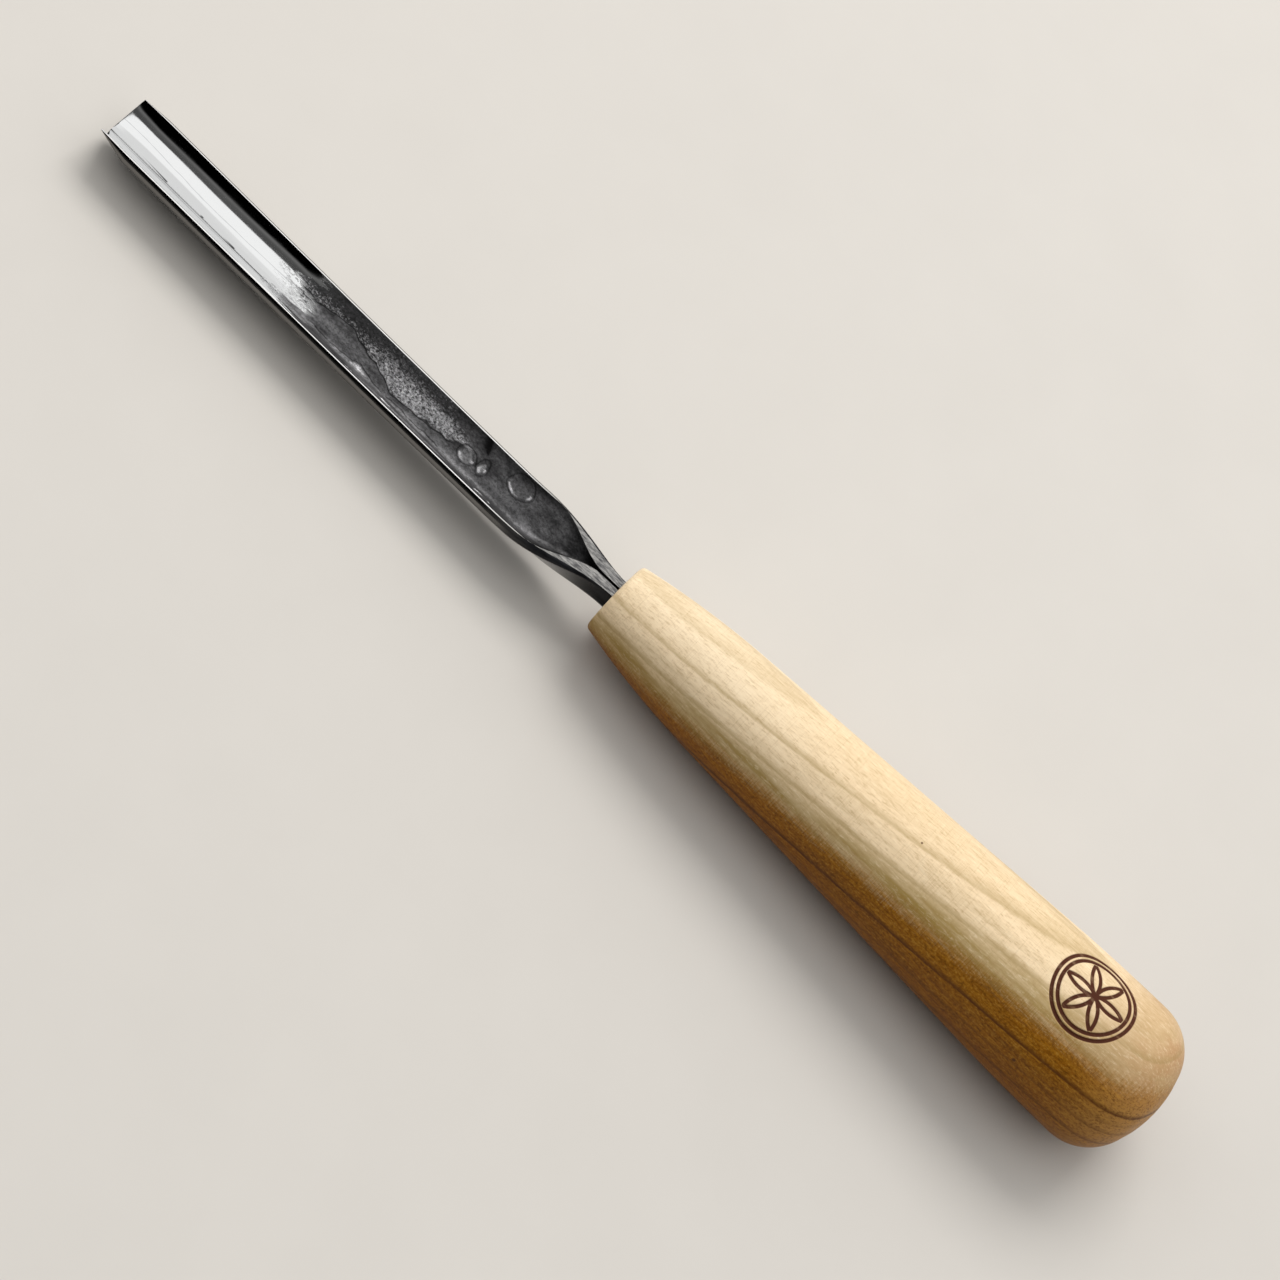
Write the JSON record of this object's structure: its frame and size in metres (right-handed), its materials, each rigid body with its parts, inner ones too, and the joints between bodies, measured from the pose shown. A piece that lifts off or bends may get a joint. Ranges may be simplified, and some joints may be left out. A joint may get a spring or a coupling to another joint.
{
  "type": "v parting tool",
  "caption": "Hand carving tool: a straight V-section blade with a ground edge, on a tapered round wooden handle with a domed end.",
  "frame": {"origin": "centre of the handle's front face, where the shank enters the wood", "axes": "+X along the tool to the cutting edge, +Z the open side of the V, +Y completes the right-handed frame"},
  "size_m": [0.25, 0.0296, 0.0294],
  "materials": {
    "tool_steel": "mirror-polished groove at the front, dark forging scale behind it, satin ground faces at the neck",
    "handle_wood": "pale close-grained hardwood, satin lacquer",
    "epoxy": "cured amber resin"
  },
  "bodies": {
    "root": {"blade": "tool_steel", "handle": "handle_wood", "tang_epoxy": "epoxy"}
  },
  "joints": []
}
